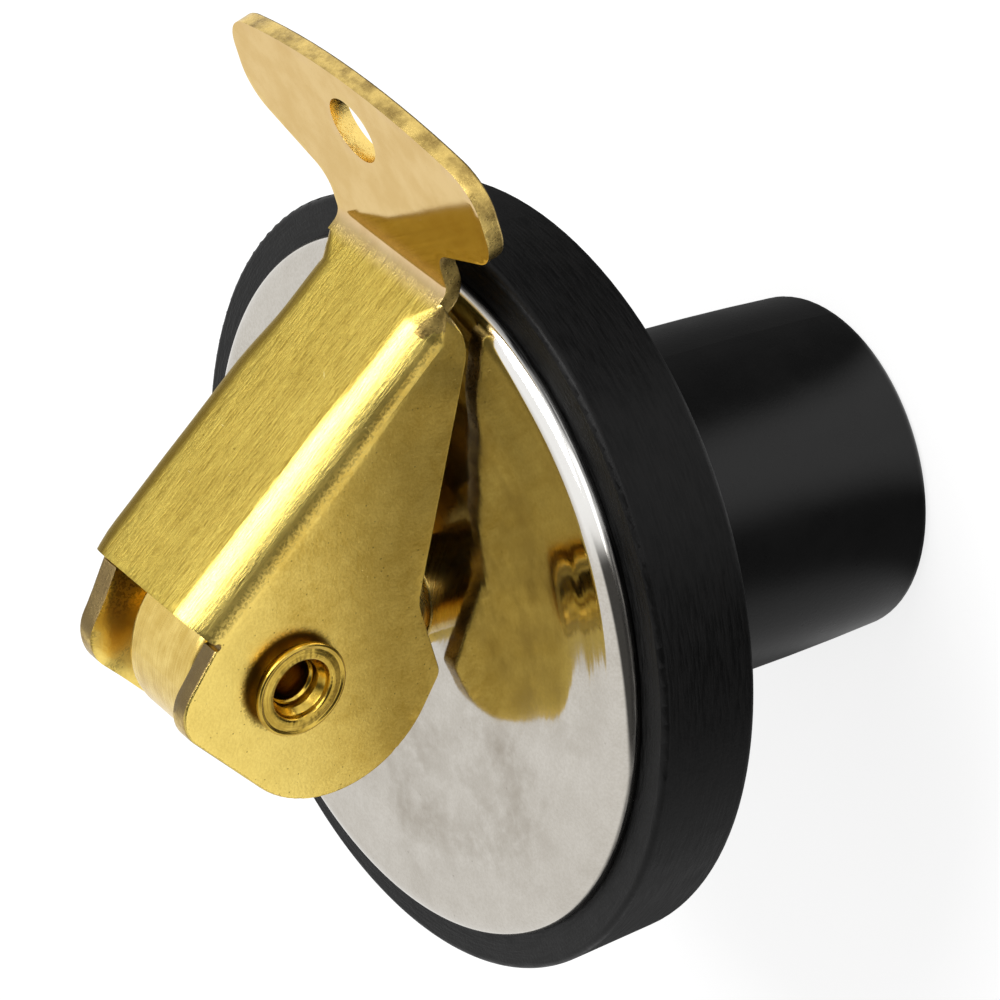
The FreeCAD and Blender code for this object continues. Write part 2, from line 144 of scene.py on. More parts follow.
class Graph:
    """Adds nodes to one node tree and joins them."""

    def __init__(self, tree: bpy.types.NodeTree) -> None:
        """Starts on a tree.

        Args:
            tree: The tree that the nodes go into.
        """
        self.tree = tree

    def feed(self, socket: Socket, value: Value) -> None:
        """Links a socket, or sets its plain value.

        Args:
            socket: The input to fill.
            value: A socket to link from, or a number, vector or colour.
        """
        if isinstance(value, Socket):
            self.tree.links.new(value, socket)
        else:
            socket.default_value = value

    def add(self, kind: str, inputs: dict[str, Value] | None = None, **settings: object) -> bpy.types.Node:
        """Adds one node.

        Args:
            kind: The node's type.
            inputs: Values or sockets for its inputs, by name.
            settings: The node's own settings.

        Returns:
            The new node.
        """
        node = self.tree.nodes.new(kind)
        for name, value in settings.items():
            setattr(node, name, value)
        for name, value in (inputs or {}).items():
            self.feed(node.inputs[name], value)
        return node

    def math(self, operation: str, *values: Value, clamp: bool = False) -> Socket:
        """Adds a Math node.

        Args:
            operation: Its operation.
            values: Its one to three inputs.
            clamp: Whether the result stays between 0 and 1.

        Returns:
            Its result.
        """
        node = self.add("ShaderNodeMath", operation=operation, use_clamp=clamp)
        for socket, value in zip(node.inputs, values):
            self.feed(socket, value)
        return node.outputs[0]

    def vector(self, operation: str, *values: Value) -> Socket:
        """Adds a Vector Math node.

        Args:
            operation: Its operation.
            values: Its one or two vectors.

        Returns:
            Its number for a dot product or a length, and its vector otherwise.
        """
        node = self.add("ShaderNodeVectorMath", operation=operation)
        for socket, value in zip(node.inputs, values):
            self.feed(socket, value)
        return node.outputs["Value" if operation in ("DOT_PRODUCT", "LENGTH") else "Vector"]

    def scale(self, point: Value, factor: Value) -> Socket:
        """Scales a vector.

        Args:
            point: The vector.
            factor: How many times longer it becomes.

        Returns:
            The scaled vector.
        """
        node = self.add("ShaderNodeVectorMath", {"Scale": factor}, operation="SCALE")
        self.feed(node.inputs[0], point)
        return node.outputs["Vector"]

    def reach(self, point: Value, direction: Vector | tuple) -> Socket:
        """Returns how far a vector reaches along a direction."""
        return self.vector("DOT_PRODUCT", point, tuple(direction))

    def part(self, point: Socket, axis: str) -> Socket:
        """Returns a vector's X, Y or Z."""
        return self.add("ShaderNodeSeparateXYZ", {"Vector": point}).outputs[axis]

    def join(self, x: Value, y: Value, z: Value = 0.0) -> Socket:
        """Returns the vector of three numbers."""
        return self.add("ShaderNodeCombineXYZ", {"X": x, "Y": y, "Z": z}).outputs[0]

    def both(self, *masks: Value) -> Socket:
        """Multiplies masks, so that the result shows where all of them do.

        Args:
            masks: Two masks or more.

        Returns:
            Their product.
        """
        product = masks[0]
        for mask in masks[1:]:
            product = self.math("MULTIPLY", product, mask)
        return product

    def total(self, *parts: tuple[Value, float], base: Value = 0.0) -> Socket:
        """Adds masks up, each with its own weight.

        Args:
            parts: Pairs of a mask and its weight.
            base: What they are added to.

        Returns:
            The sum.
        """
        for mask, weight in parts:
            base = self.math("MULTIPLY_ADD", mask, weight, base)
        return base

    def fade(self, value: Value, start: Value, end: Value) -> Socket:
        """Rises smoothly from 0 at start to 1 at end.

        Args:
            value: What is compared.
            start: Where the result is 0.
            end: Where the result is 1.

        Returns:
            The mask.
        """
        limits = {"Value": value, "From Min": start, "From Max": end}
        return self.add("ShaderNodeMapRange", limits, interpolation_type="SMOOTHSTEP").outputs["Result"]

    def spread(self, value: Value, low: float, high: float) -> Socket:
        """Takes a mask from 0 to 1 onto another range.

        Args:
            value: The mask.
            low: The result where the mask is 0.
            high: The result where the mask is 1.

        Returns:
            The number.
        """
        limits = {"Value": value, "To Min": low, "To Max": high}
        return self.add("ShaderNodeMapRange", limits).outputs["Result"]

    def mix(self, mask: Value, first: Value, second: Value) -> Socket:
        """Mixes two numbers by a mask.

        Args:
            mask: The share of the second number.
            first: The number where the mask is 0.
            second: The number where the mask is 1.

        Returns:
            The mixed number.
        """
        return self.add("ShaderNodeMix", {"Factor": mask, "A": first, "B": second}).outputs[0]

    def colours(self, mask: Value, first: Value, second: Value) -> Socket:
        """Mixes two colours by a mask.

        Args:
            mask: The share of the second colour.
            first: The colour where the mask is 0.
            second: The colour where the mask is 1.

        Returns:
            The mixed colour.
        """
        node = self.add("ShaderNodeMix", data_type="RGBA", clamp_factor=True)
        self.feed(node.inputs[6], first)
        self.feed(node.inputs[7], second)
        self.feed(node.inputs[0], mask)
        return node.outputs[2]

    def lay(self, under: Value, over: Value, mask: Value, share: float) -> Socket:
        """Lays a thin colour over another.

        Args:
            under: The colour underneath.
            over: The colour that is laid over it.
            mask: Where it lies.
            share: How much of it covers where the mask is 1.

        Returns:
            The colour of both.
        """
        return self.colours(self.math("MULTIPLY", mask, share), under, over)

    def along(self, point: Socket, first: Vector, second: Vector, third: Vector) -> Socket:
        """Measures a point along three directions.

        Args:
            point: The point.
            first: The direction that becomes X.
            second: The direction that becomes Y.
            third: The direction that becomes Z.

        Returns:
            The point in those directions.
        """
        return self.join(self.reach(point, first), self.reach(point, second), self.reach(point, third))


class Effect:
    """A node group that is built once and placed in every material that shows it."""

    name = ""
    takes: dict[str, float | tuple] = {}
    noise_reach = 0.3

    def draw(self, graph: Graph, given: Given) -> Socket:
        """Draws the group's nodes.

        Args:
            graph: The group's graph.
            given: The group's inputs.

        Returns:
            The group's mask.
        """
        raise NotImplementedError

    def sharpen(self, graph: Graph, texture: bpy.types.Node, contrast: Socket) -> Socket:
        """Raises a noise's contrast about its middle.

        Args:
            graph: The group's graph.
            texture: The noise texture, which mostly stays within noise_reach of its middle.
            contrast: How many times steeper it becomes.

        Returns:
            The mask.
        """
        half = graph.math("DIVIDE", self.noise_reach, contrast)
        low = graph.math("SUBTRACT", 0.5, half)
        high = graph.math("ADD", 0.5, half)
        return graph.fade(texture.outputs["Fac"], low, high)

    def hearts(self, graph: Graph, cells: bpy.types.Node, given: Given, channel: str) -> Socket:
        """Marks the hearts of some of a texture's cells.

        Args:
            graph: The group's graph.
            cells: The Voronoi texture.
            given: The group's inputs, Width and Share among them.
            channel: The part of a cell's colour that picks it.

        Returns:
            The mask.
        """
        mark = graph.fade(cells.outputs["Distance"], given["Width"], 0.0)
        kept = graph.math("LESS_THAN", graph.part(cells.outputs["Color"], channel), given["Share"])
        return graph.both(mark, kept)

    def tree(self) -> bpy.types.NodeTree:
        """Finds the group's tree, or builds it the first time it is asked for.

        Returns:
            The tree.
        """
        made = bpy.data.node_groups.get(self.name)
        if made:
            return made
        tree = bpy.data.node_groups.new(self.name, "ShaderNodeTree")
        for label, value in self.takes.items():
            kind = "NodeSocketVector" if isinstance(value, tuple) else "NodeSocketFloat"
            tree.interface.new_socket(name=label, in_out="INPUT", socket_type=kind).default_value = value
        tree.interface.new_socket(name="Mask", in_out="OUTPUT", socket_type="NodeSocketFloat")
        graph = Graph(tree)
        given = graph.add("NodeGroupInput").outputs
        graph.add("NodeGroupOutput", {"Mask": self.draw(graph, given)})
        return tree

    def place(self, graph: Graph, **values: Value) -> Socket:
        """Places the group in a material.

        Args:
            graph: The material's graph.
            values: The group's inputs.

        Returns:
            The group's mask.
        """
        return graph.add("ShaderNodeGroup", values, node_tree=self.tree()).outputs[0]


class Mottling(Effect):
    """Soft uneven patches, as on handled or cast surfaces."""

    name = "mottling"
    takes = {"Vector": (0.0, 0.0, 0.0), "Size": 1.0, "Detail": 3.0, "Contrast": 1.0}

    def draw(self, graph: Graph, given: Given) -> Socket:
        """Draws noise whose contrast can be raised.

        Args:
            graph: The group's graph.
            given: The group's inputs.

        Returns:
            The mask of the patches.
        """
        scale = graph.math("DIVIDE", 1.0, given["Size"])
        texture = graph.add("ShaderNodeTexNoise", {
            "Vector": given["Vector"], "Scale": scale, "Detail": given["Detail"], "Roughness": 0.6})
        return self.sharpen(graph, texture, given["Contrast"])


class RolledGrain(Effect):
    """Streaks that run along X, as rolling leaves on sheet."""

    name = "rolled_grain"
    takes = {"Vector": (0.0, 0.0, 0.0), "Length": 4.0, "Width": 0.1, "Contrast": 1.0}

    def draw(self, graph: Graph, given: Given) -> Socket:
        """Draws noise that is stretched along X.

        Args:
            graph: The group's graph.
            given: The group's inputs.

        Returns:
            The mask of the streaks.
        """
        size = graph.join(given["Length"], given["Width"], given["Width"])
        stretched = graph.vector("DIVIDE", given["Vector"], size)
        texture = graph.add("ShaderNodeTexNoise", {
            "Vector": stretched, "Scale": 1.0, "Detail": 4.0, "Roughness": 0.65, "Distortion": 0.4})
        return self.sharpen(graph, texture, given["Contrast"])


class FineScratches(Effect):
    """Short thin scratches that lie along X, far apart from each other."""

    name = "fine_scratches"
    takes = {"Vector": (0.0, 0.0, 0.0), "Length": 3.0, "Gap": 0.3, "Share": 0.4, "Width": 0.12, "Bend": 0.3}

    def draw(self, graph: Graph, given: Given) -> Socket:
        """Draws stretched cells, some with a dash at the heart.

        Args:
            graph: The group's graph.
            given: The group's inputs.

        Returns:
            The mask of the scratches.
        """
        sway = graph.add("ShaderNodeTexNoise", {"Vector": given["Vector"], "Scale": 0.35, "Detail": 1.0})
        pushed = graph.vector("SUBTRACT", sway.outputs["Color"], (0.5, 0.5, 0.5))
        bent = graph.vector("ADD", given["Vector"], graph.scale(pushed, given["Bend"]))
        size = graph.join(given["Length"], given["Gap"], given["Gap"])
        cells = graph.add("ShaderNodeTexVoronoi", {
            "Vector": graph.vector("DIVIDE", bent, size), "Scale": 1.0, "Randomness": 1.0})
        return self.hearts(graph, cells, given, "X")


class Specks(Effect):
    """Small round specks, such as pits, grit and pinholes."""

    name = "specks"
    takes = {"Vector": (0.0, 0.0, 0.0), "Gap": 0.5, "Share": 0.3, "Width": 0.2}

    def draw(self, graph: Graph, given: Given) -> Socket:
        """Draws the hearts of some of a set of cells.

        Args:
            graph: The group's graph.
            given: The group's inputs.

        Returns:
            The mask of the specks.
        """
        scale = graph.math("DIVIDE", 1.0, given["Gap"])
        cells = graph.add("ShaderNodeTexVoronoi", {"Vector": given["Vector"], "Scale": scale})
        return self.hearts(graph, cells, given, "Y")


class TurnedRings(Effect):
    """Faint rings about Z through the origin, as a lathe, a press or a mould leaves."""

    name = "turned_rings"
    takes = {"Vector": (0.0, 0.0, 0.0), "Gap": 0.3, "Turn": 2.0, "Contrast": 1.0}

    def draw(self, graph: Graph, given: Given) -> Socket:
        """Draws noise in radius and height that changes slowly round the turn.

        Args:
            graph: The group's graph.
            given: The group's inputs.

        Returns:
            The mask of the rings.
        """
        place = given["Vector"]
        flat = graph.join(graph.part(place, "X"), graph.part(place, "Y"))
        turn = graph.scale(graph.vector("NORMALIZE", flat), given["Turn"])
        reach = graph.math("ADD", graph.vector("LENGTH", flat), graph.part(place, "Z"))
        steps = graph.math("DIVIDE", reach, given["Gap"])
        where = graph.join(steps, graph.part(turn, "X"), graph.part(turn, "Y"))
        texture = graph.add("ShaderNodeTexNoise", {
            "Vector": where, "Scale": 1.0, "Detail": 3.0, "Roughness": 0.6})
        return self.sharpen(graph, texture, given["Contrast"])


class Finish:
    """One material with a Principled shader, read in millimetres on the piece itself."""

    def __init__(self, name: str, metallic: float, roughness: float) -> None:
        """Makes the material and its shader.

        Args:
            name: The material's name.
            metallic: The shader's metallic value.
            roughness: The shader's plain roughness.
        """
        self.material = bpy.data.materials.new(name)
        self.material.use_nodes = True
        tree = self.material.node_tree
        tree.nodes.clear()
        self.graph = Graph(tree)
        self.shader = self.graph.add("ShaderNodeBsdfPrincipled", {
            "Metallic": metallic, "Roughness": roughness})
        self.graph.add("ShaderNodeOutputMaterial", {"Surface": self.shader.outputs[0]})
        coordinates = self.graph.add("ShaderNodeTexCoord").outputs
        self.point = self.graph.scale(coordinates["Object"], 1 / MM)
        self.normal = coordinates["Normal"]

    def set(self, **values: Value) -> None:
        """Fills the shader's inputs.

        Args:
            values: Values or sockets by input name, with _ for a space.
        """
        for name, value in values.items():
            self.graph.feed(self.shader.inputs[name.replace("_", " ")], value)

    def relief(self, height: Socket, depth: float) -> None:
        """Raises the surface by a mask.

        Args:
            height: The mask.
            depth: The height in millimetres where the mask is 1.
        """
        bump = self.graph.add("ShaderNodeBump", {"Strength": 1.0, "Distance": depth * MM, "Height": height})
        self.set(Normal=bump.outputs[0])

    def mottled(self, size: float, detail: float, contrast: float) -> Socket:
        """Returns soft patches of a size in millimetres."""
        return Mottling().place(self.graph, Vector=self.point, Size=size, Detail=detail, Contrast=contrast)

    def ringed(self, gap: float, turn: float, contrast: float) -> Socket:
        """Returns rings about the plug's own axis, a gap in millimetres apart."""
        return TurnedRings().place(self.graph, Vector=self.point, Gap=gap, Turn=turn, Contrast=contrast)

    def specked(self, gap: float, share: float, width: float) -> Socket:
        """Returns small specks, about a gap in millimetres apart."""
        return Specks().place(self.graph, Vector=self.point, Gap=gap, Share=share, Width=width)


@dataclass(frozen=True)
class LeverForm:
    """How the lever's sheet lies, in degrees and millimetres, for its mesh and for its finishes."""

    web_slope: float = 43.9
    tab_slope: float = -20.0
    crease: Triple = (19.37, 0.625, 8.54)
    pivot: Triple = (0.0, 0.625, 16.70)
    thumb_hole: Triple = (26.559, 0.975, 11.156)

    def past_crease(self, graph: Graph, point: Socket) -> Socket:
        """Returns how far a point is up the tab from its crease."""
        return graph.reach(graph.vector("SUBTRACT", point, self.crease), slope(self.tab_slope)[0])


@dataclass(frozen=True)
class RolledBrass:
    """The lever's rolled sheet: grained on the web, speckled on the cheeks, mirror bright on the tab.

    A pair of numbers is where a mask starts and where it is full, or its result at 0 and at 1.
    """

    form: LeverForm = LeverForm()
    web_light: tuple = srgb(182, 162, 80)
    web_dark: tuple = srgb(122, 100, 36)
    # Painted light: this colour is laid as a highlight on the near fold and on one side of the cheeks.
    painted_light: tuple = srgb(255, 228, 128)
    cheek_light: tuple = srgb(255, 224, 120)
    cheek_dark: tuple = srgb(212, 176, 76)
    tab_light: tuple = srgb(227, 199, 156)
    tab_dark: tuple = srgb(215, 184, 138)
    edge_tint: tuple = (0.95, 0.85, 0.55, 1.0)
    scratch: tuple = srgb(250, 236, 176)
    speck: tuple = srgb(92, 68, 20)
    # Painted shade: this colour darkens the far fold.
    painted_fold_shade: tuple = srgb(100, 78, 32)

    # Millimetres past the crease, then how far the surface looks across on cheeks, folds and seams.
    tab_start: Span = (-0.6, 0.3)
    cheek_turn: Span = (0.75, 0.97)
    far_turn: Span = (0.06, 0.35)
    near_turn: Span = (-0.06, -0.3)
    seam_start: Span = (0.84, 0.93)
    seam_end: Span = (0.998, 0.96)
    seam_gaps: Span = (0.35, 0.75)

    # The cheek gets painted light on one side of the rivet, and a ring of painted shade round it.
    painted_lit_span: Span = (-3.0, 3.0)
    painted_lit_towards: Triple = (-0.5, 0.0, 1.0)
    shade_ring_radius: float = 2.75
    shade_ring_lean: float = 0.12
    shade_ring_towards: Triple = (1.0, 0.0, 1.0)
    shade_ring_ragged: float = 0.35
    shade_ring_fade: float = 0.25

    web_rough: Span = (0.38, 0.28)
    cheek_rough: Span = (0.33, 0.28)
    tab_rough: float = 0.08
    relief: float = 0.008

    def grain(self, finish: Finish, length: float, width: float, contrast: float) -> Socket:
        """Draws the streaks that rolling left down the web.

        Args:
            finish: The material's finish.
            length: A streak's length, in millimetres.
            width: Its width.
            contrast: How clearly it stands out.

        Returns:
            The mask of the streaks.
        """
        down_web, off_web = slope(self.form.web_slope)
        graph = finish.graph
        rolled = graph.along(finish.point, down_web, ACROSS, off_web)
        return RolledGrain().place(graph, Vector=rolled, Length=length, Width=width, Contrast=contrast)

    def scratches(self, finish: Finish) -> Socket:
        """Draws fine scratches across the sheet and askew on it.

        Args:
            finish: The material's finish.

        Returns:
            The mask of the scratches.
        """
        graph = finish.graph
        down_web, off_web = slope(self.form.web_slope)
        askew = graph.along(
            finish.point, (down_web + ACROSS).normalized(), (down_web - ACROSS).normalized(), off_web)
        sideways = graph.along(finish.point, ACROSS, down_web, off_web)
        long = FineScratches().place(graph, Vector=askew, Length=3.5, Gap=0.45, Share=0.35, Width=0.09)
        short = FineScratches().place(graph, Vector=sideways, Length=2.4, Gap=0.5, Share=0.25, Width=0.07)
        return graph.math("MAXIMUM", long, short)

    def paint_light_round_rivet(self, finish: Finish, colour: Socket, cheek: Socket, speckle: Socket) -> Socket:
        """Paints light on the cheek on one side of the rivet, and a ring of painted shade round it.

        Args:
            finish: The material's finish.
            colour: The sheet's colour so far.
            cheek: The mask of the cheeks.
            speckle: The fine mask that makes the painted shade ragged.

        Returns:
            The new colour.
        """
        graph = finish.graph
        from_pivot = graph.vector("SUBTRACT", finish.point, self.form.pivot)
        flat = graph.vector("MULTIPLY", from_pivot, (1.0, 0.0, 1.0))
        # Painted light on the cheek, on one side of the rivet.
        behind = graph.reach(flat, Vector(self.painted_lit_towards).normalized())
        handled = graph.both(graph.fade(behind, *self.painted_lit_span), cheek)
        colour = graph.lay(colour, self.painted_light, handled, share=0.6)
        # Painted shade: a ragged dark ring round the rivet, fuller above it.
        above = graph.reach(flat, Vector(self.shade_ring_towards).normalized())
        full = graph.total((above, self.shade_ring_lean), base=self.shade_ring_radius)
        start = graph.total((speckle, self.shade_ring_ragged), base=full)
        ring = graph.fade(graph.vector("LENGTH", flat), start, graph.math("SUBTRACT", full, self.shade_ring_fade))
        return graph.lay(colour, self.speck, graph.both(ring, cheek), share=0.85)

    def make(self) -> bpy.types.Material:
        """Makes the material of the sheet's faces.

        Returns:
            The material.
        """
        finish = Finish("rolled_brass_faces", metallic=1.0, roughness=0.3)
        graph = finish.graph
        tab = graph.fade(self.form.past_crease(graph, finish.point), *self.tab_start)
        sideways = graph.reach(finish.normal, ACROSS)
        side = graph.math("ABSOLUTE", sideways)
        cheek = graph.fade(side, *self.cheek_turn)
        folded = graph.math("SUBTRACT", 1.0, cheek)
        far_fold = graph.both(graph.fade(sideways, *self.far_turn), folded)
        near_fold = graph.both(graph.fade(sideways, *self.near_turn), folded)

        fine = self.grain(finish, length=0.9, width=0.08, contrast=1.6)
        broad = self.grain(finish, length=9.0, width=0.8, contrast=1.2)
        patches = finish.mottled(size=2.2, detail=4.0, contrast=1.6)
        blotches = finish.mottled(size=0.7, detail=4.0, contrast=1.6)
        speckle = finish.mottled(size=0.16, detail=3.0, contrast=1.6)
        off_tab = graph.spread(tab, 1.0, 0.25)
        scratches = graph.both(self.scratches(finish), off_tab)
        specks = graph.both(finish.specked(gap=0.55, share=0.35, width=0.13), off_tab)

        streaks = graph.total((fine, 0.48), (broad, 0.32), (speckle, 0.2))
        web_tone = graph.colours(streaks, self.web_dark, self.web_light)
        cheek_patches = graph.total((speckle, 0.35), (patches, 0.4), (blotches, 0.25))
        cheek_tone = graph.colours(cheek_patches, self.cheek_dark, self.cheek_light)
        body = graph.colours(cheek, web_tone, cheek_tone)
        # Painted shade darkens the far fold, and a painted highlight lightens the near fold.
        body = graph.lay(body, self.painted_fold_shade, far_fold, share=0.9)
        body = graph.lay(body, self.painted_light, near_fold, share=0.5)
        body = self.paint_light_round_rivet(finish, body, cheek, speckle)
        seam = graph.both(graph.fade(side, *self.seam_start), graph.fade(side, *self.seam_end))
        seam = graph.both(seam, graph.fade(speckle, *self.seam_gaps))
        body = graph.lay(body, self.speck, seam, share=0.5)
        colour = graph.colours(tab, body, graph.colours(patches, self.tab_dark, self.tab_light))
        colour = graph.lay(colour, self.scratch, scratches, share=0.4)
        colour = graph.lay(colour, self.speck, specks, share=0.8)

        web_rough = graph.total((near_fold, -0.06), base=graph.spread(streaks, *self.web_rough))
        rough = graph.mix(cheek, web_rough, graph.spread(speckle, *self.cheek_rough))
        finish.set(
            Base_Color=colour, Roughness=graph.mix(tab, rough, self.tab_rough), Specular_Tint=self.edge_tint)
        raised = graph.mix(cheek, fine, graph.math("MULTIPLY", speckle, 0.35))
        raised = graph.both(raised, graph.spread(tab, 1.0, 0.03))
        finish.relief(graph.total((scratches, -1.2), base=raised), self.relief)
        return finish.material


@dataclass(frozen=True)
class ShearedEdge:
    """The sheet's cut edges: gritty where the sheet tore, duller in patches, and darkest on the ears' tops,
    where shade is painted.

    A pair of numbers is where a mask starts and where it is full, or its result at 0 and at 1.
    """

    form: LeverForm = LeverForm()
    bright: tuple = srgb(222, 192, 112)
    dull: tuple = srgb(120, 96, 50)
    # Painted shade for the ears' top edges.
    painted_ear_shade: tuple = srgb(104, 88, 60)
    # Brighter colour that is partly burnish and partly painted highlight.
    burnish_and_highlight: tuple = srgb(240, 208, 122)

    # The ears' top edges look this way, and carry painted shade, deeper forward of the eye.
    ear_top: Triple = (0.505, 0.0, 0.863)
    ear_looks: Span = (0.8, 0.97)
    ear_run: Span = (-5.0, 1.0)
    ear_shade_span: Span = (0.35, 0.9)

    # The tab's edge is brighter in patches, and the thumb hole was pierced clean; both are partly burnish
    # and partly a painted highlight.
    tab_start: Span = (1.0, 3.0)
    tab_burnish_and_highlight: Span = (0.1, 0.5)
    pierced_reach: Span = (2.5, 2.2)
    torn_rough: Span = (0.40, 0.24)
    pierced_rough: float = 0.4
    relief: float = 0.008

    def make(self) -> bpy.types.Material:
        """Makes the material of the sheet's cut edges.

        Returns:
            The material.
        """
        finish = Finish("sheared_brass_edge", metallic=1.0, roughness=0.3)
        graph = finish.graph
        grit = finish.mottled(size=0.12, detail=4.0, contrast=1.2)
        patches = finish.mottled(size=1.3, detail=3.0, contrast=1.7)
        colour = graph.colours(graph.total((grit, 0.35), (patches, 0.65)), self.dull, self.bright)
        # Painted shade on the ears' upward-looking edges.
        on_ear = graph.fade(graph.reach(finish.normal, self.ear_top), *self.ear_looks)
        forward = graph.fade(graph.part(finish.point, "X"), *self.ear_run)
        shaded_ear_top = graph.both(on_ear, graph.spread(forward, *self.ear_shade_span))
        colour = graph.colours(shaded_ear_top, colour, self.painted_ear_shade)
        # Brighter patches on the tab's edge and in the thumb hole, partly burnish and partly painted
        # highlight.
        tab = graph.fade(self.form.past_crease(graph, finish.point), *self.tab_start)
        bright = graph.both(tab, graph.spread(patches, *self.tab_burnish_and_highlight))
        colour = graph.colours(bright, colour, self.burnish_and_highlight)
        from_hole = graph.vector("LENGTH", graph.vector("SUBTRACT", finish.point, self.form.thumb_hole))
        pierced = graph.fade(from_hole, *self.pierced_reach)
        colour = graph.colours(pierced, colour, self.burnish_and_highlight)
        rough = graph.spread(grit, *self.torn_rough)
        rough = graph.both(rough, graph.spread(pierced, 1.0, self.pierced_rough))
        finish.set(Base_Color=colour, Roughness=rough)
        finish.relief(grit, self.relief)
        return finish.material


@dataclass(frozen=True)
class TurnedBrass:
    """Brass that was turned or rolled over, with rings about an axis."""

    name: str
    centre: Triple = (0.0, 0.0, 0.0)
    axis: Triple = (0.0, 0.0, 1.0)
    bright: tuple = srgb(216, 186, 100)
    dull: tuple = srgb(178, 146, 66)
    roughness: float = 0.26
    rough_change: float = 0.06
    ring_gap: float = 0.12
    relief: float = 0.004

    def make(self) -> bpy.types.Material:
        """Makes the material.

        Returns:
            The material.
        """
        finish = Finish(self.name, metallic=1.0, roughness=self.roughness)
        graph = finish.graph
        axis = Vector(self.axis)
        across = axis.orthogonal().normalized()
        local = graph.vector("SUBTRACT", finish.point, self.centre)
        local = graph.along(local, across, axis.cross(across), axis)
        rings = TurnedRings().place(graph, Vector=local, Gap=self.ring_gap, Turn=1.5, Contrast=1.4)
        patches = finish.mottled(size=1.1, detail=3.0, contrast=1.4)
        tone = graph.total((rings, 0.4), (patches, 0.6))
        rough = graph.spread(rings, self.roughness + self.rough_change, self.roughness - self.rough_change)
        finish.set(Base_Color=graph.colours(tone, self.dull, self.bright), Roughness=rough)
        finish.relief(rings, self.relief)
        return finish.material


@dataclass(frozen=True)
class PlatedSteel:
    """Polished plating on the disc, with smudges and the rings of the press.

    A pair of numbers is where a mask starts and where it is full, or its result at 0 and at 1.
    """

    bright: tuple = srgb(204, 199, 190)
    smudge: tuple = srgb(158, 150, 137)
    speck: tuple = srgb(120, 114, 104)
    rim_foot_dark: tuple = srgb(34, 34, 35)
    # Painted highlight colour for one side of the rolled rim.
    rim_highlight: tuple = srgb(246, 245, 242)
    highlight_side: Triple = (0.819, -0.574, 0.0)
    highlight_arc: Span = (0.90, 0.975)
    rolled_height: Span = (6.92, 6.82)
    foot_height: Span = (6.45, 6.25)
    clean_radius: Span = (13.5, 18.0)
    clean_rim: float = 0.35
    stain_rough: Span = (0.07, 0.2)
    rim_foot_rough: float = 0.25
    relief: float = 0.006

    def make(self) -> bpy.types.Material:
        """Makes the material.

        Returns:
            The material.
        """
        finish = Finish("plated_steel_polished", metallic=1.0, roughness=0.1)
        graph = finish.graph
        rings = finish.ringed(gap=1.3, turn=0.5, contrast=0.9)
        smears = finish.ringed(gap=1.9, turn=1.6, contrast=1.3)
        blots = finish.mottled(size=1.6, detail=6.0, contrast=2.2)
        haze = finish.mottled(size=7.0, detail=3.0, contrast=1.8)
        dust = finish.mottled(size=0.16, detail=3.0, contrast=1.6)
        askew = graph.along(finish.point, Vector((0.8, 0.6, 0)), Vector((-0.6, 0.8, 0)), UP)
        scratches = FineScratches().place(graph, Vector=askew, Length=5.0, Gap=0.9, Share=0.3, Width=0.05)
        towards_rim = graph.fade(graph.vector("LENGTH", finish.point), *self.clean_radius)
        smudges = graph.total((smears, 0.5), (blots, 0.5))
        stain = graph.both(smudges, graph.spread(haze, 0.25, 1.0))
        stain = graph.both(stain, graph.spread(towards_rim, 1.0, self.clean_rim))
        colour = graph.colours(stain, self.bright, self.smudge)
        colour = graph.lay(colour, self.smudge, dust, share=0.22)
        specks = finish.specked(gap=0.8, share=0.25, width=0.12)
        colour = graph.lay(colour, self.speck, specks, share=0.5)

        # A painted highlight lies on one side of the rolled rim, and the rim is darker in streaks at its
        # foot.
        height = graph.part(finish.point, "Z")
        outward = graph.vector("NORMALIZE", graph.vector("MULTIPLY", finish.point, (1.0, 1.0, 0.0)))
        # Painted highlight on one side of the rolled rim.
        arc = graph.fade(graph.reach(outward, self.highlight_side), *self.highlight_arc)
        painted_light = graph.both(arc, graph.fade(height, *self.rolled_height))
        colour = graph.lay(colour, self.rim_highlight, painted_light, share=0.8)
        # Darker in streaks at the rim's foot.
        streaks = finish.ringed(gap=0.11, turn=5.0, contrast=1.5)
        rim_foot_dark = graph.both(graph.fade(height, *self.foot_height), graph.spread(streaks, 1.0, 0.55))
        colour = graph.colours(rim_foot_dark, colour, self.rim_foot_dark)
        rough = graph.total((rim_foot_dark, self.rim_foot_rough), base=graph.spread(stain, *self.stain_rough))
        finish.set(Base_Color=colour, Roughness=rough)
        finish.relief(graph.total((scratches, -0.25), base=rings), self.relief)
        return finish.material


